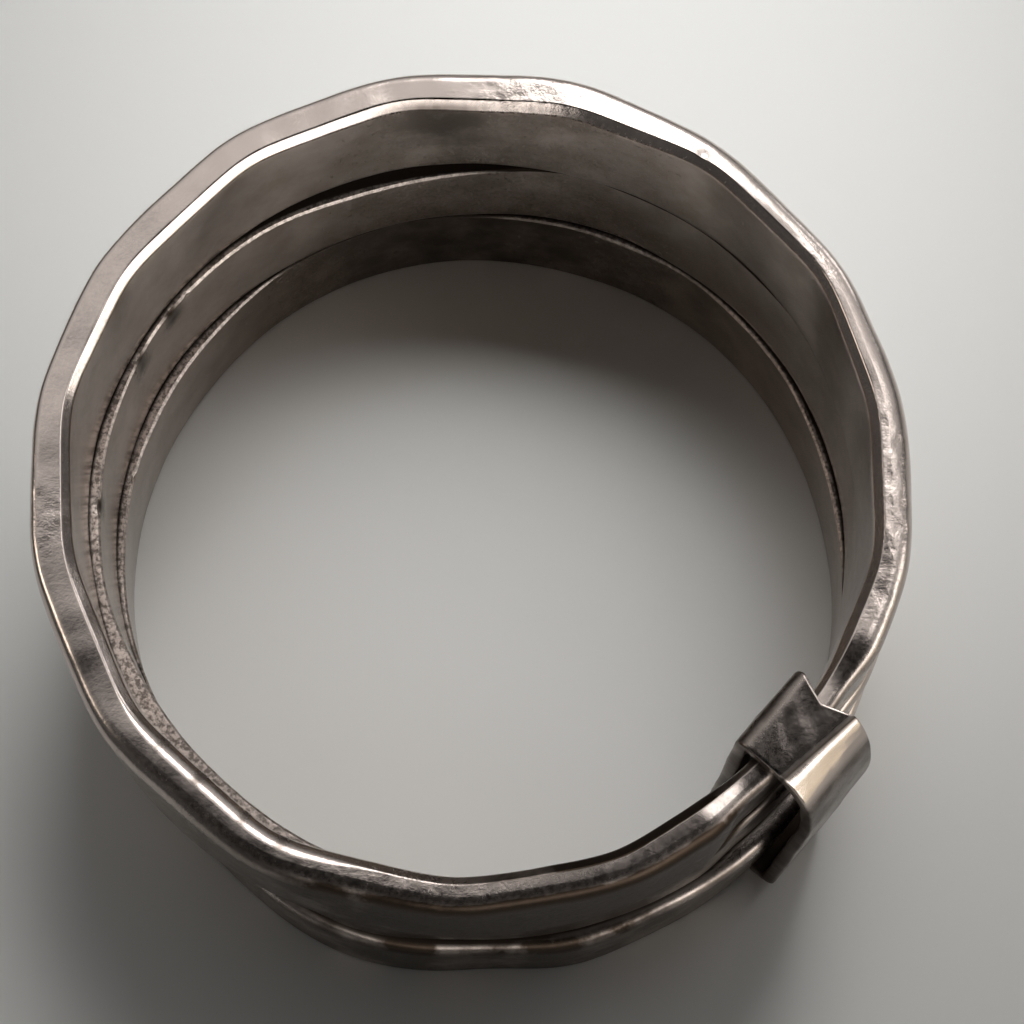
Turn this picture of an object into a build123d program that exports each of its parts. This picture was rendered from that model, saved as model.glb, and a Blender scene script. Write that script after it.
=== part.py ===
from build123d import *

import math
import os
from collections import namedtuple

# A wide hammered silver ring. Three separate bands lie one on the other, and a
# sheet sleeve wrapped round the whole stack holds them together.
# The ring lies on its edge: +Z is the finger's axis and Z = 0 is the filed foot.

os.makedirs("parts", exist_ok=True)

# Bands
finger_radius = 8.65
middle_undersize = 0.08
bottom_undersize = 0.13
top_wall = 0.9
middle_wall = 0.88
bottom_wall = 1.05
top_height = 3.05
middle_height = 2.65
bottom_height = 3.2
band_gap = 0.04
bevel = 0.2
shoulder = 0.36
foot_chamfer = 0.12
foot_filing = 0.05
foot_ease = 0.03
bottom_taper = 0.2

# Sleeve
sleeve_deg = 321
sleeve_width = 2.05
sheet = 0.36
sleeve_inner_gap = 0.05
sleeve_outer_gap = 0.27
sleeve_end_gap = 0.06
sleeve_floor_gap = 0.02
sleeve_inner_corner = 0.5
sleeve_crease_gap = 0.14
sleeve_facet_drop = 2.1
sleeve_crease = 0.3
sleeve_edge = 0.06

# Pinch of the stack where the sleeve is closed on it
pinch = 0.27
pinch_top = 0.16
pinch_fade_deg = 9
pinch_margin_deg = 1.7
pinch_reach_deg = math.degrees(sleeve_width / 2 / finger_radius) + pinch_margin_deg

# The bands, a row each. taper is how much wider a band is inside at its foot, and bevelled
# is its bevel as a share of the top band's. slip_x and slip_y are shares of slip, how far
# the bands slipped sideways before the sleeve was closed, and thinning is a share of pinch.
# turned is how many rows further on the hammering starts, and flatness is how far a rim was
# beaten from round to flat.
slip = 0.2
Band = namedtuple("Band", "inner_radius wall taper bevelled slip_x slip_y thinning turned flatness")
bands = {
    "bottom": Band(finger_radius - bottom_undersize, bottom_wall, bottom_taper, 0.3, 0.9, 0.75, 0.0, 13, 0.3),
    "middle": Band(finger_radius - middle_undersize, middle_wall, 0.0, 0.3, 0.3, 0.4, 0.55, 4, 0.35),
    "top": Band(finger_radius, top_wall, 0.0, 1.0, -0.45, -0.1, 1.0, 0, 1.0),
}

# Corners between the flats hammered round a band, a row each. A corner's radius is a share
# of the band's inner radius, its thickness and the next flat's dip are shares of the wall.
Corner = namedtuple("Corner", "at_deg radius thickness dip")
corners = [
    Corner(12, 0.995, 1.02, 0.06),
    Corner(33, 1.016, 0.85, 0.02),
    Corner(57, 1.016, 0.92, 0.08),
    Corner(79, 1.003, 1.18, 0.03),
    Corner(104, 1.010, 1.06, 0.07),
    Corner(127, 1.012, 1.02, 0.02),
    Corner(152, 1.011, 1.00, 0.06),
    Corner(173, 1.016, 0.92, 0.04),
    Corner(196, 0.998, 1.10, 0.08),
    Corner(220, 1.006, 1.12, 0.03),
    Corner(246, 1.020, 1.04, 0.07),
    Corner(270, 1.013, 0.98, 0.02),
    Corner(292, 1.006, 0.98, 0.05),
    Corner(sleeve_deg - pinch_reach_deg, 0.982, 1.06, 0.03),
    Corner(sleeve_deg + pinch_reach_deg, 0.990, 1.04, 0.05),
    Corner(350, 1.000, 1.00, 0.02),
]
corners.sort(key=lambda corner: corner.at_deg)
# Where each flat is cut, as shares of the way to the next corner, and how much sharper
# than the worn corner its two flats would meet
flat_cuts = (0, 0.17, 0.5, 0.83)
corner_wear_inside = 0.07
corner_wear_outside = 0.09

# Where a band's upper edge dips and doesn't quite meet the band above it, and where its
# outer wall swells, as shares of the greatest dip and the greatest swell
Spot = namedtuple("Spot", "band centre_deg fade_deg share")
greatest_dip = 0.42
dips = [
    Spot("middle", 107, 34, 1.0),
    Spot("bottom", 272, 32, 0.95),
    Spot("bottom", 20, 24, 0.35),
]
greatest_swell = 0.33
swells = [
    Spot("middle", 254, 18, 0.6),
    Spot("bottom", 254, 26, 1.0),
    Spot("bottom", 284, 14, 0.45),
]

# Small dents in the top band's rim, across as a share of its wall
dent_radius = 0.45
dent_depth = 0.05
Dent = namedtuple("Dent", "at_deg across radius_share")
dents = [
    Dent(6, 0.55, 1.0),
    Dent(-6, 0.50, 0.85),
    Dent(58, 0.45, 1.1),
]

full_turn = 360


def bump(angle, centre, fade, flat=0.0):
    """1 within flat degrees of the centre, from where it falls smoothly to 0 over fade degrees."""
    away = abs((angle - centre + full_turn / 2) % full_turn - full_turn / 2)
    fallen = min(max((away - flat) / fade, 0), 1)
    return 0.5 + 0.5 * math.cos(math.pi * fallen)


def spots(rows, name, angle):
    """What the rows of one band come to at this angle."""
    return sum(row.share * bump(angle, row.centre_deg, row.fade_deg) for row in rows if row.band == name)


def centre(band):
    """Where a band's own axis stands after it slipped."""
    return Vector(slip * band.slip_x, slip * band.slip_y, 0)


def radial_plane(angle, origin=Vector(0, 0, 0)):
    """The upright plane through an axis: local X points outward, local Y up."""
    out = Vector(math.cos(math.radians(angle)), math.sin(math.radians(angle)), 0)
    return Plane(origin=origin, x_dir=out, z_dir=out.cross(Vector(0, 0, 1)))


def flat_radius(share, span, ends, wear, beaten):
    """Radius a share of the way along a flat, between round (beaten = 0) and flat (1)."""
    first, last = ends
    round_radius = first + (last - first) * share - foot_ease
    if share == 0:
        return round_radius + foot_ease * beaten
    first, last = first + wear, last + wear
    reach = first * math.sin(math.radians(span * share)) + last * math.sin(math.radians(span * (1 - share)))
    return round_radius + (first * last * math.sin(math.radians(span)) / reach - round_radius) * beaten


def stations(name):
    """Where a band is cut: angle, radii at the rim and at the foot, and the rim's dip."""
    band = bands[name]
    for index, corner in enumerate(corners):
        span = (corners[(index + 1) % len(corners)].at_deg - corner.at_deg) % full_turn
        here, there = (corners[(index + band.turned + step) % len(corners)] for step in (0, 1))
        inner_ends = [band.inner_radius * row.radius for row in (here, there)]
        outer_ends = [band.inner_radius * row.radius + band.wall * row.thickness for row in (here, there)]
        for share in flat_cuts:
            angle = corner.at_deg + span * share
            pinched = pinch * band.thinning * bump(angle, sleeve_deg, pinch_fade_deg, pinch_reach_deg)
            added = greatest_swell * spots(swells, name, angle) - pinched
            rim, foot = (
                (
                    flat_radius(share, span, inner_ends, corner_wear_inside, beaten) + taper,
                    flat_radius(share, span, outer_ends, corner_wear_outside, beaten) + added,
                )
                for beaten, taper in ((band.flatness, 0), (0, band.taper))
            )
            dip = band.wall * here.dip * 4 * share * (1 - share)
            yield angle, rim, foot, dip


def band_section(band, angle, rim_radii, foot_radii, foot, top):
    """One cut through a band: bevelled inside, rounded outside, both foot edges eased."""
    inner, outer = rim_radii
    foot_inner, foot_outer = foot_radii
    cut = bevel * band.bevelled * (outer - inner) / band.wall
    turn = shoulder * (outer - inner) / band.wall
    with BuildSketch(radial_plane(angle, centre(band))) as section:
        with BuildLine():
            RadiusArc((outer - turn, top), (outer, top - turn), turn)
            Polyline(
                (outer, top - turn),
                (foot_outer, foot + foot_chamfer),
                (foot_outer - foot_chamfer, foot),
                (foot_inner + foot_chamfer, foot),
                (foot_inner, foot + foot_chamfer),
                (inner, top - cut),
                (inner + cut, top),
                (outer - turn, top),
            )
        make_face()
    return section.sketch


def band_sections(name, foot, top):
    """The cuts through one band, once round the finger and back to the first."""
    pinch_drop = pinch_top if name == "top" else 0.0
    pinch_lift = foot_filing + sleeve_floor_gap + sheet + sleeve_end_gap if name == "bottom" else 0.0
    sections = []
    for angle, rim_radii, foot_radii, dip in stations(name):
        pinched = bump(angle, sleeve_deg, pinch_fade_deg, pinch_reach_deg)
        lower = foot + pinch_lift * pinched
        upper = top - dip - greatest_dip * spots(dips, name, angle) - pinch_drop * pinched
        sections.append(band_section(bands[name], angle, rim_radii, foot_radii, lower, upper))
    return sections + sections[:1]


def reach_at_sleeve(name):
    """The least and the greatest distance from the axis that a band has inside the sleeve."""
    slip_out = radial_plane(sleeve_deg).to_local_coords(centre(bands[name])).X
    nearest, farthest = [], []
    for angle, *radii, _ in stations(name):
        if bump(angle, sleeve_deg, pinch_margin_deg, pinch_reach_deg) > 0:
            along = math.cos(math.radians(angle - sleeve_deg))
            nearest += [inner * along + slip_out for inner, _ in radii]
            farthest += [outer * along + slip_out for _, outer in radii]
    return min(nearest), max(farthest)


middle_foot = bottom_height + band_gap
middle_top = middle_foot + middle_height
top_foot = middle_top + band_gap
stack_top = top_foot + top_height

bottom_sections = band_sections("bottom", -foot_filing, bottom_height)
middle_sections = band_sections("middle", middle_foot, middle_top)
top_sections = band_sections("top", top_foot, stack_top)

# Bottom band, its foot filed flat
with BuildPart() as band_bottom:
    loft(bottom_sections, ruled=True)
    split(bisect_by=Plane.XY, keep=Keep.TOP)

# Middle band
with BuildPart() as band_middle:
    loft(middle_sections, ruled=True)

# Top band, with small dents in its rim
with BuildPart() as band_top:
    loft(top_sections, ruled=True)
    for row in dents:
        ball_radius = dent_radius * row.radius_share
        ball_centre = (finger_radius + top_wall * row.across, stack_top - dent_depth + ball_radius, 0)
        with Locations(radial_plane(row.at_deg, centre(bands["top"])).from_local_coords(ball_centre)):
            Sphere(ball_radius, mode=Mode.SUBTRACT)

# Sleeve: a sheet bent round the stack's cut, open at both ends
reaches = [reach_at_sleeve(name) for name in bands]
sleeve_inner = min(nearest for nearest, _ in reaches) - sleeve_inner_gap - sheet
sleeve_outer = max(farthest for _, farthest in reaches) + sleeve_outer_gap + sheet
sleeve_top = stack_top - pinch_top + sleeve_end_gap + sheet
_, top_reach = reach_at_sleeve("top")
with BuildPart() as sleeve:
    with BuildSketch(radial_plane(sleeve_deg)) as sleeve_profile:
        with BuildLine():
            Polyline(
                (sleeve_inner, sleeve_floor_gap),
                (sleeve_outer, sleeve_floor_gap),
                (sleeve_outer, sleeve_top - sleeve_facet_drop),
                (top_reach + sleeve_crease_gap, sleeve_top),
                (sleeve_inner, sleeve_top),
                close=True,
            )
        make_face()
        inner_corners, *creases, outer_corners = sleeve_profile.vertices().group_by(Axis.X)
        lower_outer_corner, side_crease = outer_corners.sort_by(Axis.Y)
        fillet(inner_corners, radius=sleeve_inner_corner)
        fillet(lower_outer_corner, radius=sleeve_outer_gap + sheet)
        fillet([*creases[0], side_crease], radius=sleeve_crease)
        offset(amount=-sheet, mode=Mode.SUBTRACT)
    extrude(amount=sleeve_width / 2, both=True)
    fillet(sleeve.faces().filter_by(radial_plane(sleeve_deg)).edges(), radius=sleeve_edge)

pieces = {"band_bottom": band_bottom, "band_middle": band_middle, "band_top": band_top, "sleeve": sleeve}
for name, piece in pieces.items():
    piece.part.label = name
    export_step(piece.part, f"parts/{name}.step")
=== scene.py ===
import math
from collections import namedtuple

import bpy
import numpy as np
from mathutils import Matrix, Vector


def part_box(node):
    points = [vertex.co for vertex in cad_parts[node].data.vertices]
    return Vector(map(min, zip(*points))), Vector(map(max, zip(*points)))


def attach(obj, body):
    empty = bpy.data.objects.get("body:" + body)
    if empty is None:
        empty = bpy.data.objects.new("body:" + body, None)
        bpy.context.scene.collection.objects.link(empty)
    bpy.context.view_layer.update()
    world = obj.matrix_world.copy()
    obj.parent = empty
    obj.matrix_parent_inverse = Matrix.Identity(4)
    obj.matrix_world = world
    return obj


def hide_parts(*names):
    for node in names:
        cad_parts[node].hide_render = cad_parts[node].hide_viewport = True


# Looks of a wide hammered silver ring: three stacked bands and a bent sheet sleeve.
# The ring's sizes are in millimetres and are turned into metres when a mesh is made.

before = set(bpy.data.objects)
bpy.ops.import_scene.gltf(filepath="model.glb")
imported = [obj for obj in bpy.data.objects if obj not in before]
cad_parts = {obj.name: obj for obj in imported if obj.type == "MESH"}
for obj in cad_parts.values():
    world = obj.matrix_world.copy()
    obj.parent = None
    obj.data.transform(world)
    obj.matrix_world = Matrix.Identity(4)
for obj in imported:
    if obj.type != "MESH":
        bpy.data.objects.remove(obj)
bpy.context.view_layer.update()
mm = 0.001
full_turn = 360

# Bands, the same sizes as the part's
finger_radius = 8.65
middle_undersize = 0.08
bottom_undersize = 0.13
top_wall = 0.9
middle_wall = 0.88
bottom_wall = 1.05
bottom_taper = 0.2
bevel = 0.2
shoulder = 0.36
foot_round = 0.09
dent_radius = 0.45
dent_depth = 0.05
pinch = 0.27
pinch_top = 0.16
pinch_fade_deg = 9
pinch_margin_deg = 1.7
greatest_dip = 0.42
greatest_swell = 0.33
slip = 0.2

# Sleeve, where the part's lies, but with its outer facet bent in two: its distances from the
# axis, and how far under its top the facet and the side begin
sleeve_deg = 321
sleeve_width = 2.05
sheet = 0.36
sleeve_end_gap = 0.06
sleeve_inner = 7.93
sleeve_crease = 9.42
sleeve_facet = 10.05
sleeve_outer = 10.35
sleeve_facet_drop = 0.66
sleeve_side_drop = 2.1
sleeve_half = sleeve_width / 2
pinch_reach_deg = math.degrees(sleeve_half / finger_radius) + pinch_margin_deg

# Wear of the bands: how far their bevels are rounded, more where the ring was handled, how far
# out a corner moves to make up for what softening takes off it, and how much softer than a rim's
# inside its outside and the foot are
bevel_wear_low = 0.07
bevel_wear_high = 0.03
handled_wear_high = 0.15
handled_deg = 238
handled_fade_deg = 14
handled_flat_deg = 10
corner_wear_inside = 0.07
corner_wear_outside = 0.09
outer_softness = 1.3
foot_softness = 2.0

# How much of a flat's dip its whole length has, over how many degrees it changes to the next,
# and how far the lowest band's foot is clear of the sleeve beyond its gap
flat_dip = 0.6
flat_softness = 5.0
foot_lift = 0.02

# The bands, a row each, as in the part. softness is how many degrees a band's corners are worn
# over, and worn is how much of the rim's lean, crown and shoulder it shows.
Band = namedtuple(
    "Band",
    "node inner_radius wall taper bevelled slip_x slip_y thinning turned flatness softness worn seed",
)
bands = {
    "bottom": Band("band_bottom", finger_radius - bottom_undersize, bottom_wall, bottom_taper, 0.3,
                   0.9, 0.75, 0.0, 13, 0.3, 4.0, 0.0, 3),
    "middle": Band("band_middle", finger_radius - middle_undersize, middle_wall, 0.0, 0.3,
                   0.3, 0.4, 0.55, 4, 0.35, 4.0, 0.0, 5),
    "top": Band("band_top", finger_radius, top_wall, 0.0, 1.0,
                -0.45, -0.1, 1.0, 0, 1.0, 3.3, 1.0, 8),
}

# Corners between the flats hammered round a band, as in the part. On the flat that follows,
# lean is how far the rim slopes down to the inside, or to the outside where it is negative,
# crown is how far it is domed, and shoulder is how widely its outer edge is rounded.
Corner = namedtuple("Corner", "at_deg radius thickness dip lean crown shoulder")
corners = [
    Corner(12, 0.995, 1.02, 0.06, 0.00, 0.030, 1.4),
    Corner(33, 1.016, 0.85, 0.02, -0.03, 0.035, 1.4),
    Corner(57, 1.016, 0.92, 0.08, -0.12, 0.0, 0.7),
    Corner(79, 1.003, 1.18, 0.03, 0.012, 0.0, 0.8),
    Corner(104, 1.010, 1.06, 0.07, 0.00, 0.0, 0.6),
    Corner(127, 1.012, 1.02, 0.02, 0.00, 0.0, 0.5),
    Corner(152, 1.011, 1.00, 0.06, 0.00, 0.0, 0.5),
    Corner(173, 1.016, 0.92, 0.04, 0.00, 0.0, 0.6),
    Corner(196, 0.998, 1.10, 0.08, 0.00, 0.015, 0.8),
    Corner(220, 1.006, 1.12, 0.03, 0.00, 0.035, 1.0),
    Corner(246, 1.020, 1.04, 0.07, 0.015, 0.030, 1.2),
    Corner(270, 1.013, 0.98, 0.02, 0.02, 0.030, 1.2),
    Corner(292, 1.006, 0.98, 0.05, -0.04, 0.030, 1.1),
    Corner(sleeve_deg - pinch_reach_deg, 0.982, 1.06, 0.03, 0.00, 0.02, 1.0),
    Corner(sleeve_deg + pinch_reach_deg, 0.990, 1.04, 0.05, 0.05, 0.02, 1.2),
    Corner(350, 1.000, 1.00, 0.02, 0.00, 0.025, 1.4),
]
corners.sort(key=lambda corner: corner.at_deg)

# Where a band's upper edge dips and where its outer wall swells, as in the part
Spot = namedtuple("Spot", "band centre_deg fade_deg share")
dips = [
    Spot("middle", 107, 34, 1.0),
    Spot("bottom", 272, 32, 0.95),
    Spot("bottom", 20, 24, 0.35),
]
swells = [
    Spot("middle", 254, 18, 0.6),
    Spot("bottom", 254, 26, 1.0),
    Spot("bottom", 284, 14, 0.45),
]

# Dents in the top band's rim, as in the part, across as a share of its wall. dent_share is how
# much of their depth is left by wear.
Dent = namedtuple("Dent", "at_deg across radius_share")
dents = [
    Dent(6, 0.55, 1.0),
    Dent(-6, 0.50, 0.85),
    Dent(58, 0.45, 1.1),
]
dent_share = 0.6

# Unevenness of the metal: hammered waves, finer ones, and pits where a rim is pitted. The
# surface lies in by inset, and outer walls by outer_inset more, so that the waves stay inside
# the part's own size. wave_spread is the range of the waves' lengths, and a band's own seed is
# raised by fine_seed and pitting_seed for its finer relief.
Relief = namedtuple("Relief", "height length")
hammered = Relief(0.005, 2.4)
beaten_fine = Relief(0.0012, 0.9)
pitting = Relief(0.004, 0.4)
inset = 0.014
outer_inset = 0.035
wave_count = 36
wave_spread = (0.7, 1.5)
fine_seed = 20
pitting_seed = 40
pits = [
    Spot("top", 84, 12, 1.0),
    Spot("top", 190, 7, 0.8),
    Spot("top", 36, 9, 0.6),
    Spot("top", 356, 26, 1.0),
    Spot("top", 262, 30, 0.5),
]

# Sleeve's wear: how its corners are rounded, from the side's upper one round over the top, how
# round the sheet's own edges are, how it is tilted and its crease skewed, and where one of its
# edges is cut back
sleeve_eases = (0.6, 0.4, 0.3, 0.4, 0.42, 0.55)
sleeve_lip = 0.09
sleeve_tilt = 0.045
sleeve_skew = 0.15
sleeve_cut_back = 0.26
sleeve_cut_back_at = 8.8
sleeve_cut_back_reach = 0.7
sleeve_waves = Relief(0.008, 1.9)
sleeve_fine = Relief(0.0025, 0.6)
sleeve_inset = 0.02
sleeve_seed = 31
sleeve_fine_seed = 32

# Where the sleeve is darkened: at its inner corner, with painted shade at its side, dimming the floor it
# mirrors, and with painted shade in the groove by its crease, hiding the crease's highlight
inner_darkening_reach = 0.5
inner_darkening_edge = 0.3
inner_darkening = 0.8
side_shade_reach = 0.15
side_shade_edge = 0.12
side_shade = 0.9
groove_back = 0.07
groove_width = 0.07

# Nicks in a rim's inner edge
nick_depth = 0.07
nick_width = 0.12
nicks = [
    Spot("middle", 145.4, 1.0, 0.8),
    Spot("middle", 149.2, 1.3, 1.0),
    Spot("middle", 157.8, 1.0, 0.9),
    Spot("middle", 182.3, 2.0, 1.0),
    Spot("bottom", 171.9, 1.2, 1.0),
]

# Dark patches on the inner wall (-1) or on the outer wall and the outer half of the rim (1), from
# depth_from to depth_to under the rim as shares of the band's height. Most are painted shade: on
# the far inner walls, where they mirror the shaded floor, in dabs and a long patch that break up
# and dim the highlight on the top band's near inner edge, and, with dark tarnish, on the near
# side's outer walls and rims. The short ones by the middle band's nicks are dark marks. A share
# over 1 stays whole where clouds thin it, up to most_stain_and_shade, and inward_gain is how soon a
# surface that turns inward takes an inner one.
StainAndShade = namedtuple("StainAndShade", "band side at_deg fade_deg depth_from depth_to share")
stain_and_shade_edge_above = 0.05
stain_and_shade_edge_below = 0.12
outer_half_from = 0.15
outer_half_edge = 0.4
inward_gain = 6
most_stain_and_shade = 1.6
stains_and_shade = [
    # Painted shade on the top band's far inner wall, where it mirrors the shaded floor
    StainAndShade("top", -1, 98, 17, 0.05, 0.75, 0.8),
    StainAndShade("top", -1, 85, 50, 0.05, 1.2, 0.45),
    # Dark marks by the middle band's nicks
    StainAndShade("middle", -1, 149, 3.5, 0.0, 0.30, 1.0),
    StainAndShade("middle", -1, 158, 3.5, 0.0, 0.35, 1.0),
    StainAndShade("middle", -1, 182, 3.0, 0.0, 0.25, 0.9),
    # Painted shade on the far inner walls of the lower bands
    StainAndShade("middle", -1, 90, 50, 0.0, 1.2, 0.5),
    StainAndShade("bottom", -1, 95, 60, 0.0, 1.2, 0.9),
    # Painted shade in dabs that break up the highlight on the top band's near-left inner edge
    StainAndShade("top", -1, 226, 1.3, -0.2, 0.3, 0.6),
    StainAndShade("top", -1, 233, 1.6, -0.2, 0.3, 0.8),
    StainAndShade("top", -1, 241, 1.2, -0.2, 0.3, 0.7),
    StainAndShade("top", -1, 247, 1.6, -0.2, 0.3, 0.8),
    # Painted shade that dims the highlight along the top band's near inner edge
    StainAndShade("top", -1, 294, 44, -0.2, 0.3, 1.4),
    # The near side's outer walls and rims: dark tarnish and painted shade
    StainAndShade("top", 1, 284, 78, -0.2, 1.2, 1.6),
    StainAndShade("middle", 1, 280, 76, -0.2, 1.2, 1.4),
    StainAndShade("bottom", 1, 276, 72, -0.2, 1.2, 1.2),
]

# How soft the edge of the painted shade in a seam is, how much of a lower rim's inner edge is raw,
# and how soon a surface that turns level takes the painted shade
recess_shade_edge = 0.06
raw_width = 0.45
raw_edge = 0.1
level_gain = 3

# How finely a piece is divided: cuts round a band, and points at each corner of a profile and
# along each of its sides
turns = 900
band_corner_points = [5, 7, 4, 12, 5]
band_side_points = [26, 5, 13, 20, 5]
sleeve_corner_points = [16, 12, 10, 12, 12, 12]
sleeve_side_points = [10, 12, 36, 50, 30, 36]
section_corner_points = [6, 6, 6, 6]
section_side_points = [40, 3, 24, 3]

# The angles at which a band is worked out, and the number of the flat that each of them is on
angles = np.arange(turns) * full_turn / turns
flat_starts = np.array([row.at_deg for row in corners])
flat_at = np.searchsorted(flat_starts, angles, side="right") - 1


def bump(angle, centre, fade, flat=0.0):
    """1 within flat degrees of the centre, from where it falls smoothly to 0 over fade degrees."""
    away = np.abs((angle - centre + full_turn / 2) % full_turn - full_turn / 2)
    return 0.5 + 0.5 * np.cos(np.pi * np.clip((away - flat) / fade, 0, 1))


pinched = bump(angles, sleeve_deg, pinch_fade_deg, pinch_reach_deg)
handled = bump(angles, handled_deg, handled_fade_deg, handled_flat_deg)


def spots(rows, name):
    """What the rows of one band come to, all round."""
    own = [row.share * bump(angles, row.centre_deg, row.fade_deg) for row in rows if row.band == name]
    return sum(own, np.zeros(turns))


def soften(values, degrees):
    """Values given all round, smoothed over so many degrees."""
    harmonics = np.fft.rfftfreq(turns, 1 / turns)
    kept = np.exp(-(harmonics * np.radians(degrees)) ** 2 / 2)
    return np.fft.irfft(np.fft.rfft(values) * kept, turns)


def by_corner(values, beaten, wear, softness):
    """Radius all round from its values at the corners, between round (beaten = 0) and flats (1)."""
    spans = (np.roll(flat_starts, -1) - flat_starts) % full_turn
    span, first, last = spans[flat_at], values[flat_at], np.roll(values, -1)[flat_at]
    share = (angles - flat_starts[flat_at]) % full_turn / span
    rounded = first + (last - first) * share
    first, last = first + wear, last + wear
    reach = first * np.sin(np.radians(span * share)) + last * np.sin(np.radians(span * (1 - share)))
    return soften(rounded + (first * last * np.sin(np.radians(span)) / reach - rounded) * beaten, softness)


def on_flats(values):
    """A value that each flat holds over its whole length, all round, and between flats a soft change."""
    return soften(values[flat_at], flat_softness)


def waves(points, relief, seed):
    """A smooth uneven field of a relief's height at points in space, its bumps about a length apart."""
    random = np.random.default_rng(seed)
    ways = random.normal(size=(wave_count, 3))
    ways /= np.linalg.norm(ways, axis=1, keepdims=True)
    ways *= 2 * np.pi / (relief.length * random.uniform(*wave_spread, size=(wave_count, 1)))
    phases = random.uniform(0, 2 * np.pi, size=wave_count)
    return relief.height * np.cos(points @ ways.T + phases).sum(axis=-1) * math.sqrt(2 / wave_count)


def rounded_profile(points, eases, arc_counts, side_counts):
    """Points round closed profiles, each given by its corners, with every corner rounded by its ease."""
    outline = []
    count = points.shape[1]
    starts, ends = [], []
    for index in range(count):
        here, before, after = points[:, index], points[:, index - 1], points[:, (index + 1) % count]
        back, forth = before - here, after - here
        ease = eases[index][:, None]
        starts.append(here + back / np.linalg.norm(back, axis=1, keepdims=True) * ease)
        ends.append(here + forth / np.linalg.norm(forth, axis=1, keepdims=True) * ease)
    for index in range(count):
        for share in np.linspace(0, 1, arc_counts[index]):
            outline.append(starts[index] * (1 - share) ** 2 + points[:, index] * 2 * share * (1 - share)
                           + ends[index] * share ** 2)
        after = (index + 1) % count
        for share in np.linspace(0, 1, side_counts[index] + 2)[1:-1]:
            outline.append(ends[index] + (starts[after] - ends[index]) * share)
    return np.stack(outline, axis=1)


def grid_normals(grid):
    """Outward normals of a grid of points that closes both ways."""
    along = np.roll(grid, -1, axis=0) - np.roll(grid, 1, axis=0)
    across = np.roll(grid, -1, axis=1) - np.roll(grid, 1, axis=1)
    normals = np.cross(across, along)
    return normals / np.linalg.norm(normals, axis=2, keepdims=True)


def grid_mesh(name, grid, masks):
    """A smooth mesh object from a grid of points that closes both ways, with each mask's values."""
    rows, columns = grid.shape[:2]
    numbers = np.arange(rows * columns).reshape(rows, columns)
    next_row, next_column = np.roll(numbers, -1, axis=0), np.roll(numbers, -1, axis=1)
    both = np.roll(next_row, -1, axis=1)
    faces = np.stack([numbers, next_row, both, next_column], axis=-1).reshape(-1, 4)
    mesh = bpy.data.meshes.new(name)
    mesh.from_pydata((grid.reshape(-1, 3) * mm).tolist(), [], faces.tolist())
    for key, values in masks.items():
        attribute = mesh.attributes.new(key, "FLOAT", "POINT")
        attribute.data.foreach_set("value", values.astype(np.float32).ravel())
    mesh.polygons.foreach_set("use_smooth", np.ones(len(faces), bool))
    mesh.update()
    piece = bpy.data.objects.new(name, mesh)
    bpy.context.collection.objects.link(piece)
    return piece


def corner_rows(name):
    """The corners' rows in the order in which they come round one band."""
    turned = bands[name].turned
    return corners[turned:] + corners[:turned]


def radii(name, beaten, softness):
    """Inner and outer radius of a band all round: round where beaten is 0, in flats where it is 1."""
    band = bands[name]
    rows = corner_rows(name)
    inner = np.array([band.inner_radius * row.radius for row in rows])
    outer = inner + np.array([band.wall * row.thickness for row in rows])
    added = greatest_swell * spots(swells, name) - pinch * band.thinning * pinched
    return (by_corner(inner, beaten, corner_wear_inside, softness),
            by_corner(outer, beaten, corner_wear_outside, softness * outer_softness) + added)


def rim_radii(name):
    """Inner and outer radius of a band's rim all round."""
    return radii(name, bands[name].flatness, bands[name].softness)


def foot_radii(name):
    """Inner and outer radius of a band's foot all round."""
    foot_in, foot_out = radii(name, 0.0, bands[name].softness * foot_softness)
    return foot_in + bands[name].taper, foot_out


def across_rim(name, outline):
    """Where a band's points lie across its rim, from -1 at the inner edge to 1 at the outer edge."""
    rim_in, rim_out = rim_radii(name)
    return 2 * (outline[:, :, 0] - rim_in[:, None]) / (rim_out - rim_in)[:, None] - 1


def edge_heights(name):
    """Heights of a band's foot and rim all round."""
    band = bands[name]
    low, high = (corner[2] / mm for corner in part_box(band.node))
    flat_dips = np.array([band.wall * row.dip * flat_dip for row in corner_rows(name)])
    foot = np.full(turns, low)
    rim = high - greatest_dip * spots(dips, name) - on_flats(flat_dips)
    if name == "top":
        rim -= pinch_top * pinched
    if name == "bottom":
        foot += (sheet + sleeve_end_gap + foot_lift) * pinched
    return foot, rim


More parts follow.
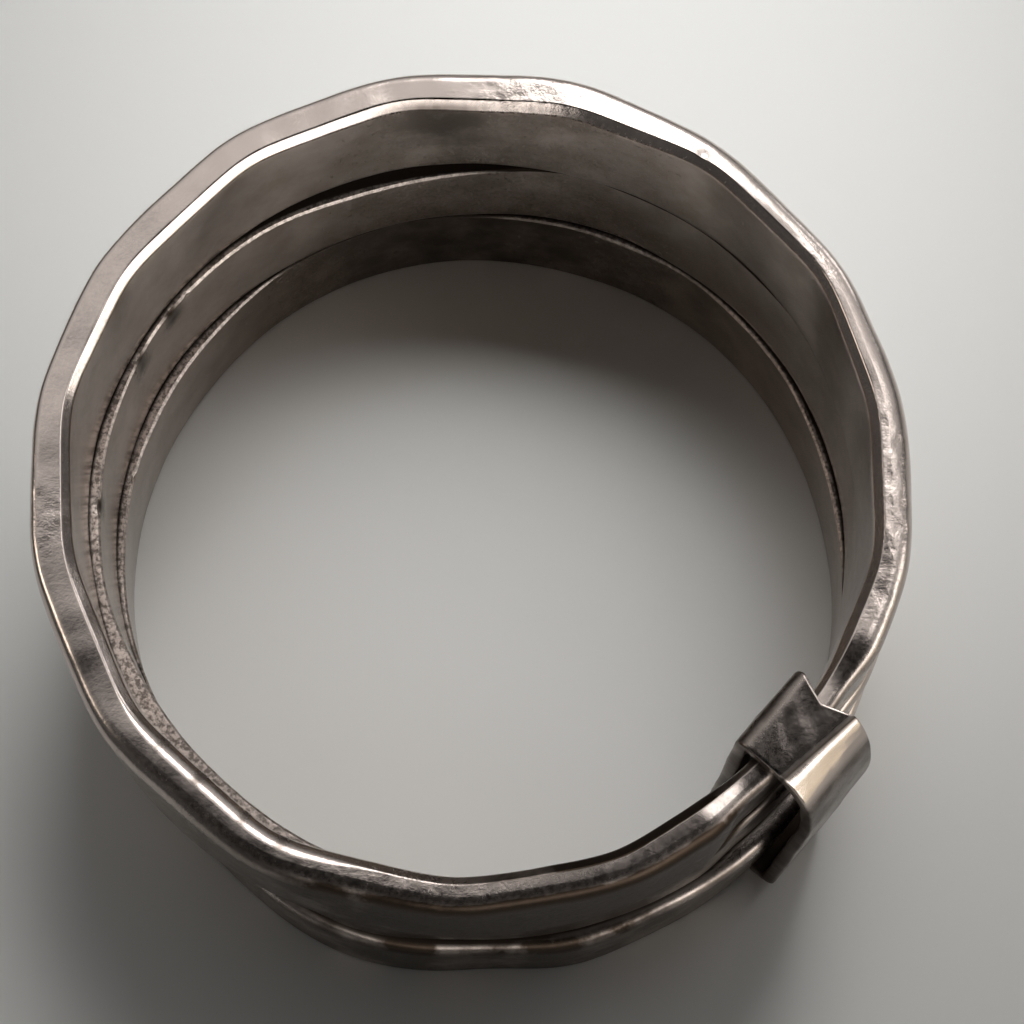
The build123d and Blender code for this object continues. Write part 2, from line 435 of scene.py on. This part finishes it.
def band_outline(name):
    """A band's rounded profile all round, each point given by its radius and its height."""
    band = bands[name]
    rim_in, rim_out = rim_radii(name)
    foot_in, foot_out = foot_radii(name)
    foot, rim = edge_heights(name)
    lean = band.worn * on_flats(np.array([row.lean for row in corners]))
    crown = band.worn * on_flats(np.array([row.crown for row in corners]))
    shouldered = 1 + band.worn * (on_flats(np.array([row.shoulder for row in corners])) - 1)
    thickness = (rim_out - rim_in) / band.wall
    cut = bevel * band.bevelled * thickness
    rim_inside = rim - np.maximum(lean, 0)
    profile = np.stack([
        np.stack([foot_in, foot], axis=1),
        np.stack([rim_in, rim_inside - cut], axis=1),
        np.stack([rim_in + cut, rim_inside], axis=1),
        np.stack([rim_out, rim + np.minimum(lean, 0)], axis=1),
        np.stack([foot_out, foot], axis=1),
    ], axis=1)
    everywhere = np.ones(turns)
    wear_high = bevel_wear_high + (handled_wear_high - bevel_wear_high) * handled * band.worn
    eases = [
        foot_round * everywhere,
        bevel_wear_low * band.bevelled * everywhere,
        wear_high * band.bevelled,
        shoulder * shouldered * thickness,
        foot_round * everywhere,
    ]
    outline = rounded_profile(profile, eases, band_corner_points, band_side_points)
    across = across_rim(name, outline)
    up = (outline[:, :, 1] - foot[:, None]) / (rim - foot)[:, None]
    outline[:, :, 1] -= crown[:, None] * np.clip(across, -1, 1) ** 2 * up
    return outline


def placed(name, outline):
    """Points in space from a band's outline all round."""
    band = bands[name]
    turn = np.radians(angles)[:, None]
    return np.stack([
        slip * band.slip_x + outline[:, :, 0] * np.cos(turn),
        slip * band.slip_y + outline[:, :, 0] * np.sin(turn),
        outline[:, :, 1],
    ], axis=-1)


def nicked(name, outline):
    """How deep a band's inner edge is nicked at each point."""
    rim_in, _ = rim_radii(name)
    _, rim = edge_heights(name)
    away = np.hypot(outline[:, :, 0] - rim_in[:, None], outline[:, :, 1] - rim[:, None])
    return nick_depth * np.exp(-(away / nick_width) ** 2) * spots(nicks, name)[:, None]


def dented(name, grid):
    """How deep a band's rim is dented at each point."""
    band = bands[name]
    depth = np.zeros(grid.shape[:2])
    for row in dents:
        reach = band.inner_radius + band.wall * row.across
        turn = math.radians(row.at_deg)
        away = np.hypot(grid[:, :, 0] - slip * band.slip_x - reach * math.cos(turn),
                        grid[:, :, 1] - slip * band.slip_y - reach * math.sin(turn))
        spread = dent_radius * row.radius_share * dent_depth
        depth += dent_depth * dent_share * np.exp(-away ** 2 / spread)
    return depth * band.worn


def stain_and_shade(name, outline, inward):
    """How dark each point of a band is painted: by stains, and mostly by painted shade."""
    foot, rim = edge_heights(name)
    outer_half = np.clip((across_rim(name, outline) - outer_half_from) / outer_half_edge, 0, 1)
    under = (rim[:, None] - outline[:, :, 1]) / (rim - foot)[:, None]
    amount = np.zeros_like(under)
    for row in stains_and_shade:
        if row.band == name:
            begun = np.clip((under - row.depth_from) / stain_and_shade_edge_above + 1, 0, 1)
            left = np.clip((row.depth_to - under) / stain_and_shade_edge_below, 0, 1)
            facing = np.clip(inward * inward_gain, 0, 1) if row.side < 0 else outer_half
            around = bump(angles, row.at_deg, row.fade_deg)[:, None]
            amount = np.maximum(amount, row.share * begun * left * facing * around)
    return np.minimum(amount, most_stain_and_shade)


def recess_shade(name, outline, level, below):
    """1 where the band above lies over a rim, and under a band's foot: painted shade, dark where little
    light gets in.
    """
    above = {"bottom": "middle", "middle": "top"}.get(name)
    underneath = below * (0 if name == "bottom" else 1)
    if above is None:
        return underneath
    band, cover = bands[name], bands[above]
    cover_in, cover_out = foot_radii(above)
    turn = np.radians(angles)
    slip_x, slip_y = band.slip_x - cover.slip_x, band.slip_y - cover.slip_y
    slipped = slip * (slip_x * np.cos(turn) + slip_y * np.sin(turn))
    out = outline[:, :, 0] + slipped[:, None]
    hidden = (np.clip((out - cover_in[:, None]) / recess_shade_edge + 0.5, 0, 1)
              * np.clip((cover_out[:, None] - out) / recess_shade_edge + 0.5, 0, 1))
    return np.maximum(hidden * np.clip(level * level_gain, 0, 1), underneath)


def band_grid(name):
    """Points of a band's surface and its masks."""
    band = bands[name]
    outline = band_outline(name)
    grid = placed(name, outline)
    normals = grid_normals(grid)
    level = np.clip(normals[:, :, 2], 0, 1)
    turn = np.radians(angles)[:, None]
    inward = -(normals[:, :, 0] * np.cos(turn) + normals[:, :, 1] * np.sin(turn))
    pitted = level * spots(pits, name)[:, None]
    relief = waves(grid, hammered, band.seed)
    relief += (1 + level) * waves(grid, beaten_fine, band.seed + fine_seed)
    relief += pitted * waves(grid, pitting, band.seed + pitting_seed) - nicked(name, outline)
    relief -= inset + outer_inset * np.clip(-inward, 0, 1)
    grid = grid + normals * relief[:, :, None]
    grid[:, :, 2] -= dented(name, grid) * level
    grid[:, :, 2] = np.maximum(grid[:, :, 2], 0)
    rim_in, _ = rim_radii(name)
    edge = np.clip((rim_in[:, None] + raw_width - outline[:, :, 0]) / raw_edge, 0, 1)
    masks = {
        "level": level,
        # Painted shade in the seams between bands and under the feet
        "recess_shade": recess_shade(name, outline, level, np.clip(-normals[:, :, 2], 0, 1)),
        "raw": level * edge * (1 - band.worn),
        # Stains, and mostly painted shade
        "stain_and_shade": stain_and_shade(name, outline, inward),
        "pitted": pitted,
    }
    return grid, masks


def sleeve_loops(low, high):
    """The sheet's way round the stack's cut, out from the axis and up, at each of its two edges."""
    edges = np.array([[
        (sleeve_outer, high - sleeve_side_drop),
        (sleeve_facet, high - sleeve_facet_drop),
        (sleeve_crease + sleeve_skew * edge, high),
        (sleeve_inner, high),
        (sleeve_inner, low),
        (sleeve_outer, low),
    ] for edge in (-1, 1)])
    eases = [np.full(2, ease) for ease in sleeve_eases]
    return rounded_profile(edges, eases, sleeve_corner_points, sleeve_side_points)


def sheet_section():
    """How far from the sheet's middle line and how deep in it each point of its own section lies."""
    section = rounded_profile(
        np.array([[(-sleeve_half, 0), (sleeve_half, 0), (sleeve_half, -sheet), (-sleeve_half, -sheet)]]),
        [np.array([sleeve_lip])] * len(section_corner_points), section_corner_points,
        section_side_points)[0]
    return section[None, :, 0], section[None, :, 1]


def sleeve_masks(out, side, depth, on_top, normals):
    """The sleeve's masks: painted shade inside it and in the groove by its crease, a darker inner corner,
    and painted shade on its side.
    """
    # Painted shade on the sheet's inner face
    inside = np.clip(-depth / sheet, 0, 1) * np.ones_like(out)
    inner_corner = np.clip((sleeve_inner + inner_darkening_reach - out) / inner_darkening_edge, 0, 1)
    beyond_facet = np.clip((out - sleeve_facet + side_shade_reach) / side_shade_edge, 0, 1)
    # Painted shade in a groove by the crease, hiding its highlight
    groove_at = sleeve_crease + sleeve_skew * side / sleeve_half - groove_back
    groove = np.exp(-((out - groove_at) / groove_width) ** 2) * on_top
    return {
        "level": np.clip(normals[:, :, 2], 0, 1),
        "recess_shade": np.maximum(inside, groove),
        "raw": np.zeros_like(out),
        # A darker inner corner, and painted shade on the side where it mirrors the floor
        "stain_and_shade": np.maximum(inner_corner * inner_darkening, beyond_facet * side_shade),
        "pitted": np.zeros_like(out),
    }


def sleeve_grid():
    """Points of the sleeve's surface, a sheet's section carried round the stack's cut, and its masks."""
    low, high = (corner[2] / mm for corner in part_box("sleeve"))
    high -= sleeve_tilt * sleeve_half
    first, last = sleeve_loops(low, high)
    side, depth = sheet_section()
    share = (side[:, :, None] / sleeve_half + 1) / 2
    loop = first[:, None] * (1 - share) + last[:, None] * share
    steps = np.roll(loop, -1, axis=0) - np.roll(loop, 1, axis=0)
    steps /= np.linalg.norm(steps, axis=2, keepdims=True)
    out, up = loop[:, :, 0] + steps[:, :, 1] * depth, loop[:, :, 1] - steps[:, :, 0] * depth
    near_cut = np.clip(1 - np.abs(loop[:, :, 0] - sleeve_cut_back_at) / sleeve_cut_back_reach, 0, 1)
    on_top = loop[:, :, 1] > high - sheet
    side = side - sleeve_cut_back * near_cut * on_top * np.clip(side / sleeve_half, 0, 1)
    turn = math.radians(sleeve_deg)
    grid = np.stack([
        out * math.cos(turn) - side * math.sin(turn),
        out * math.sin(turn) + side * math.cos(turn),
        up + sleeve_tilt * side * up / high,
    ], axis=-1)
    normals = grid_normals(grid)
    relief = waves(grid, sleeve_waves, sleeve_seed) + waves(grid, sleeve_fine, sleeve_fine_seed)
    relief -= sleeve_inset
    return grid + normals * relief[:, :, None], sleeve_masks(out, side, depth, on_top, normals)


def add_node(owner, kind, inputs=None, **settings):
    """A shader node with its settings, and its inputs set to values or linked to sockets."""
    node = owner.node_tree.nodes.new(kind)
    for key, value in settings.items():
        setattr(node, key, value)
    for key, value in (inputs or {}).items():
        if isinstance(value, bpy.types.NodeSocket):
            owner.node_tree.links.new(value, node.inputs[key])
        else:
            node.inputs[key].default_value = value
    return node


def new_material(name):
    """A material with an empty node tree."""
    material = bpy.data.materials.new(name)
    material.use_nodes = True
    material.node_tree.nodes.clear()
    return material


def maths(owner, operation, first, second=0.0, clamp=False):
    """The result of an operation on two values or sockets."""
    node = add_node(owner, "ShaderNodeMath", {0: first, 1: second}, operation=operation, use_clamp=clamp)
    return node.outputs[0]


def mask(material, name):
    """The mesh's own value of this name."""
    return add_node(material, "ShaderNodeAttribute", attribute_name=name).outputs["Fac"]


def mixed(material, share, first, second):
    """The first colour where share is 0, the second where it is 1."""
    return add_node(material, "ShaderNodeMix", {"Factor": share, "A": first, "B": second},
                    data_type="RGBA").outputs["Result"]


def mapped(material, value, ramp):
    """A value carried from one range to the other by a ramp."""
    return add_node(material, "ShaderNodeMapRange", {
        "Value": value,
        "From Min": ramp.low, "From Max": ramp.high,
        "To Min": ramp.to_low, "To Max": ramp.to_high,
    }).outputs["Result"]


def noise(material, place, kind):
    """A noise of one kind at each place."""
    return add_node(material, "ShaderNodeTexNoise", {
        "Vector": place, "Scale": kind.scale, "Detail": kind.detail, "Roughness": kind.roughness,
    }).outputs["Fac"]


# Colours of worn silver and of the painted shade on it, how rough it is where it is rubbed, and how much
# rougher elsewhere
rubbed_colour = (0.74, 0.65, 0.60, 1)
# Duller silver on the walls: part tarnish and part painted shade, dimming the shaded floor they mirror
wall_tarnish_and_shade_colour = (0.36, 0.30, 0.25, 1)
# Dark brown for stains and specks, and for most patches of painted shade
stain_and_shade_colour = (0.050, 0.036, 0.027, 1)
# Near-black painted shade for the seams between bands, under their feet and inside the sleeve
recess_shade_colour = (0.035, 0.026, 0.02, 1)
hammered_roughness = 0.17
sheet_roughness = 0.15
roughness_spread = 0.10
rougher = {"raw": 0.22, "recess_shade": 0.3, "stain_and_shade": 0.15}

# Unevenness of the finish: clouds of dullness, grain, and scratches drawn out up the walls,
# with scale in bumps to a millimetre. The grain has rugged_least of its height everywhere, and
# more by rugged_gain where the metal is raw or pitted.
Noise = namedtuple("Noise", "scale detail roughness")
cloud_noise = Noise(0.9, 5.0, 0.6)
grain_noise = Noise(9.0, 4.0, 0.65)
scratch_noise = Noise(7.0, 6.0, 0.7)
scratch_scale = (1.0, 1.0, 0.12)
scratch_share = 0.2
rugged_gain = 3.0
rugged_least = 0.5
bump_strength = 0.45
bump_height = 0.01

# How a mask or a noise between low and high turns into a share. The metal's roughness follows
# its grain from grain_low to grain_high.
Ramp = namedtuple("Ramp", "low high to_low to_high")
wall_tarnish_and_shade_by_level = Ramp(0.1, 0.5, 1.0, 0.0)
wall_tarnish_and_shade_by_cloud = Ramp(0.3, 0.7, 0.55, 1.0)
stain_and_shade_by_cloud = Ramp(0.35, 0.6, 0.6, 1.0)
speck_by_grain = Ramp(0.42, 0.58, 0.75, 0.0)
grain_low = 0.3
grain_high = 0.75


def silver_colour(material, share, wall, grain):
    """Bright where rubbed; duller on the walls, part tarnish and part painted shade; dark where stained
    and where shade is painted; and black painted shade in the seams, under the feet and inside the sleeve.
    """
    specks = maths(material, "MULTIPLY", share["raw"], mapped(material, grain, speck_by_grain), clamp=True)
    colour = mixed(material, wall, rubbed_colour, wall_tarnish_and_shade_colour)
    colour = mixed(material, specks, colour, stain_and_shade_colour)
    colour = mixed(material, share["stain_and_shade"], colour, stain_and_shade_colour)
    return mixed(material, share["recess_shade"], colour, recess_shade_colour)


def silver_roughness(material, share, grain, gloss):
    """Roughness from gloss upward by the grain, and more where the metal isn't rubbed."""
    rough = mapped(material, grain, Ramp(grain_low, grain_high, gloss, gloss + roughness_spread))
    for key, more in rougher.items():
        rough = maths(material, "ADD", rough, maths(material, "MULTIPLY", share[key], more), clamp=True)
    return rough


def silver_relief(material, share, grain, scratches):
    """Normals of the grain and the scratches, the grain deeper where the metal is raw or pitted."""
    rugged = maths(material, "ADD", share["raw"], share["pitted"])
    rugged = maths(material, "ADD", maths(material, "MULTIPLY", rugged, rugged_gain), rugged_least)
    height = maths(material, "ADD", maths(material, "MULTIPLY", grain, rugged),
                   maths(material, "MULTIPLY", scratches, scratch_share))
    return add_node(material, "ShaderNodeBump", {
        "Strength": bump_strength, "Distance": bump_height * mm, "Height": height,
    }).outputs["Normal"]


def silver(name, gloss):
    """Worn silver, as rough as gloss at the least."""
    material = new_material(name)
    place = add_node(material, "ShaderNodeTexCoord")
    sized = add_node(material, "ShaderNodeVectorMath", {0: place.outputs["Object"], "Scale": 1 / mm},
                     operation="SCALE").outputs[0]
    drawn_out = add_node(material, "ShaderNodeMapping", {"Vector": sized, "Scale": scratch_scale},
                         vector_type="POINT").outputs[0]
    clouds = noise(material, sized, cloud_noise)
    grain = noise(material, sized, grain_noise)
    scratches = noise(material, drawn_out, scratch_noise)
    share = {key: mask(material, key) for key in ("raw", "recess_shade", "stain_and_shade", "pitted")}
    share["stain_and_shade"] = maths(material, "MULTIPLY", share["stain_and_shade"],
                             mapped(material, clouds, stain_and_shade_by_cloud), clamp=True)
    # Walls that don't face up take the duller silver: part tarnish, part painted shade
    wall = maths(material, "MULTIPLY", mapped(material, mask(material, "level"), wall_tarnish_and_shade_by_level),
                 mapped(material, clouds, wall_tarnish_and_shade_by_cloud))
    shader = add_node(material, "ShaderNodeBsdfPrincipled", {
        "Base Color": silver_colour(material, share, wall, grain),
        "Metallic": 1.0,
        "Roughness": silver_roughness(material, share, grain, gloss),
        "Normal": silver_relief(material, share, grain, scratches),
    })
    add_node(material, "ShaderNodeOutputMaterial", {"Surface": shader.outputs["BSDF"]})
    return material


hammered_silver = silver("hammered_silver", hammered_roughness)
sheet_silver = silver("sheet_silver", sheet_roughness)

for name in bands:
    grid, masks = band_grid(name)
    piece = grid_mesh(f"{name}_band", grid, masks)
    piece.data.materials.append(hammered_silver)
    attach(piece, "root")
    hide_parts(bands[name].node)

grid, masks = sleeve_grid()
sleeve = grid_mesh("bent_sleeve", grid, masks)
sleeve.data.materials.append(sheet_silver)
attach(sleeve, "root")
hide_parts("sleeve")

# Floor, its width in metres
floor_width = 1.2
floor_colour = (0.82, 0.82, 0.80, 1)
floor_roughness = 0.85
bpy.ops.mesh.primitive_plane_add(size=floor_width)
floor = bpy.context.object
floor.name = "floor"
floor_material = new_material("pale_floor")
floor_shader = add_node(floor_material, "ShaderNodeBsdfPrincipled",
                        {"Base Color": floor_colour, "Roughness": floor_roughness})
add_node(floor_material, "ShaderNodeOutputMaterial", {"Surface": floor_shader.outputs["BSDF"]})
floor.data.materials.append(floor_material)


def direction(azimuth, off_vertical):
    """The unit vector that points so many degrees round from +X and down from +Z."""
    tilt, turn = math.radians(off_vertical), math.radians(azimuth)
    return Vector((math.sin(tilt) * math.cos(turn), math.sin(tilt) * math.sin(turn), math.cos(tilt)))


# Rectangular lights, placed by direction and distance in metres, that face a point on the floor.
# One lights the floor and isn't seen in the metal, and the others are seen in the metal alone.
Softbox = namedtuple(
    "Softbox", "name lights_floor azimuth off_vertical distance width height radiance colour spread aim")
softboxes = [
    Softbox("lamp", True, 82, 32, 0.065, 0.03, 0.03, 1.0, (1, 1, 1), 50, (0.002, 0.017)),
    Softbox("near_window", False, -72, 61, 0.25, 0.22, 0.09, 2.4, (1, 0.97, 0.93), 180, (0, 0)),
    Softbox("side_window", False, -20, 62, 0.25, 0.28, 0.07, 3.0, (1, 0.97, 0.93), 180, (0, 0)),
    Softbox("cream_card", False, -26, 80, 0.25, 0.26, 0.09, 0.8, (1, 0.88, 0.68), 180, (0, 0)),
    Softbox("left_card", False, 176, 50, 0.25, 0.06, 0.05, 3.5, (1, 0.88, 0.76), 180, (0, 0)),
    Softbox("right_card", False, 50, 77, 0.25, 0.05, 0.06, 2.5, (1, 1, 1), 180, (0, 0)),
]
for row in softboxes:
    data = bpy.data.lights.new(row.name, "AREA")
    data.shape = "RECTANGLE"
    data.size, data.size_y = row.width, row.height
    data.energy = row.radiance * math.pi * row.width * row.height
    data.color = row.colour
    data.spread = math.radians(row.spread)
    light = bpy.data.objects.new(row.name, data)
    light.location = direction(row.azimuth, row.off_vertical) * row.distance
    facing = light.location - Vector((*row.aim, 0))
    light.rotation_euler = facing.to_track_quat("Z", "Y").to_euler()
    light.visible_diffuse = row.lights_floor
    light.visible_glossy = not row.lights_floor
    bpy.context.collection.objects.link(light)

# The room seen in the metal: bright and dark parts of the sky, each full to inner_deg from its
# middle and gone at outer_deg. The dark one is what shades the ring in front.
Sky = namedtuple("Sky", "azimuth off_vertical inner_deg outer_deg strength")
ambient = 0.06
bright_sky = [
    Sky(78, 28, 18, 66, 0.47),
    Sky(79, 43, 6, 12, 6.0),
    Sky(122, 19, 5, 18, 0.17),
    Sky(42, 25, 4, 10, 2.5),
]
dark_sky = Sky(-90, 18.6, 33, 42, 1.0)
sky_colour = (1.0, 0.98, 0.96, 1)


def sky_part(owner, row):
    """A round part of the sky, its strength falling smoothly from its inner to its outer edge."""
    way = add_node(owner, "ShaderNodeTexCoord").outputs["Generated"]
    along = add_node(owner, "ShaderNodeVectorMath", {0: way, 1: direction(row.azimuth, row.off_vertical)},
                     operation="DOT_PRODUCT").outputs["Value"]
    inner, outer = (math.cos(math.radians(edge)) for edge in (row.inner_deg, row.outer_deg))
    return add_node(owner, "ShaderNodeMapRange", {
        "Value": along, "From Min": outer, "From Max": inner, "To Max": row.strength,
    }, interpolation_type="SMOOTHSTEP").outputs["Result"]


world = bpy.data.worlds.new("studio")
bpy.context.scene.world = world
world.use_nodes = True
world.node_tree.nodes.clear()
strength = ambient
for row in bright_sky:
    strength = maths(world, "ADD", sky_part(world, row), strength)
strength = maths(world, "MULTIPLY", strength, maths(world, "SUBTRACT", 1.0, sky_part(world, dark_sky)))
background = add_node(world, "ShaderNodeBackground", {"Color": sky_colour, "Strength": strength})
add_node(world, "ShaderNodeOutputWorld", {"Surface": background.outputs["Background"]})
bpy.context.scene.view_settings.view_transform = "Standard"

# Camera, as the photograph was taken, with its clipping distances in metres
photo_elevation = math.radians(71.4)
photo_roll = math.radians(2.6)
photo_distance = 47.591
photo_target = Vector((0.751, -1.043, 8.98))
focal_px = 2240
photo_px = 1024
sensor_width = 36
clip_start = 0.001
clip_end = 10
view_back = Vector((0, -math.cos(photo_elevation), math.sin(photo_elevation)))
view_up = Vector((0, math.sin(photo_elevation), math.cos(photo_elevation)))
view_right = Vector((1, 0, 0))
rolled_right = view_right * math.cos(photo_roll) + view_up * math.sin(photo_roll)
rolled_up = view_up * math.cos(photo_roll) - view_right * math.sin(photo_roll)
camera_data = bpy.data.cameras.new("camera")
camera_data.sensor_width = sensor_width
camera_data.lens = sensor_width * focal_px / photo_px
camera_data.clip_start = clip_start
camera_data.clip_end = clip_end
camera = bpy.data.objects.new("camera", camera_data)
camera.matrix_world = (Matrix.Translation((photo_target + view_back * photo_distance) * mm)
                       @ Matrix((rolled_right, rolled_up, view_back)).transposed().to_4x4())
bpy.context.collection.objects.link(camera)
bpy.context.scene.camera = camera
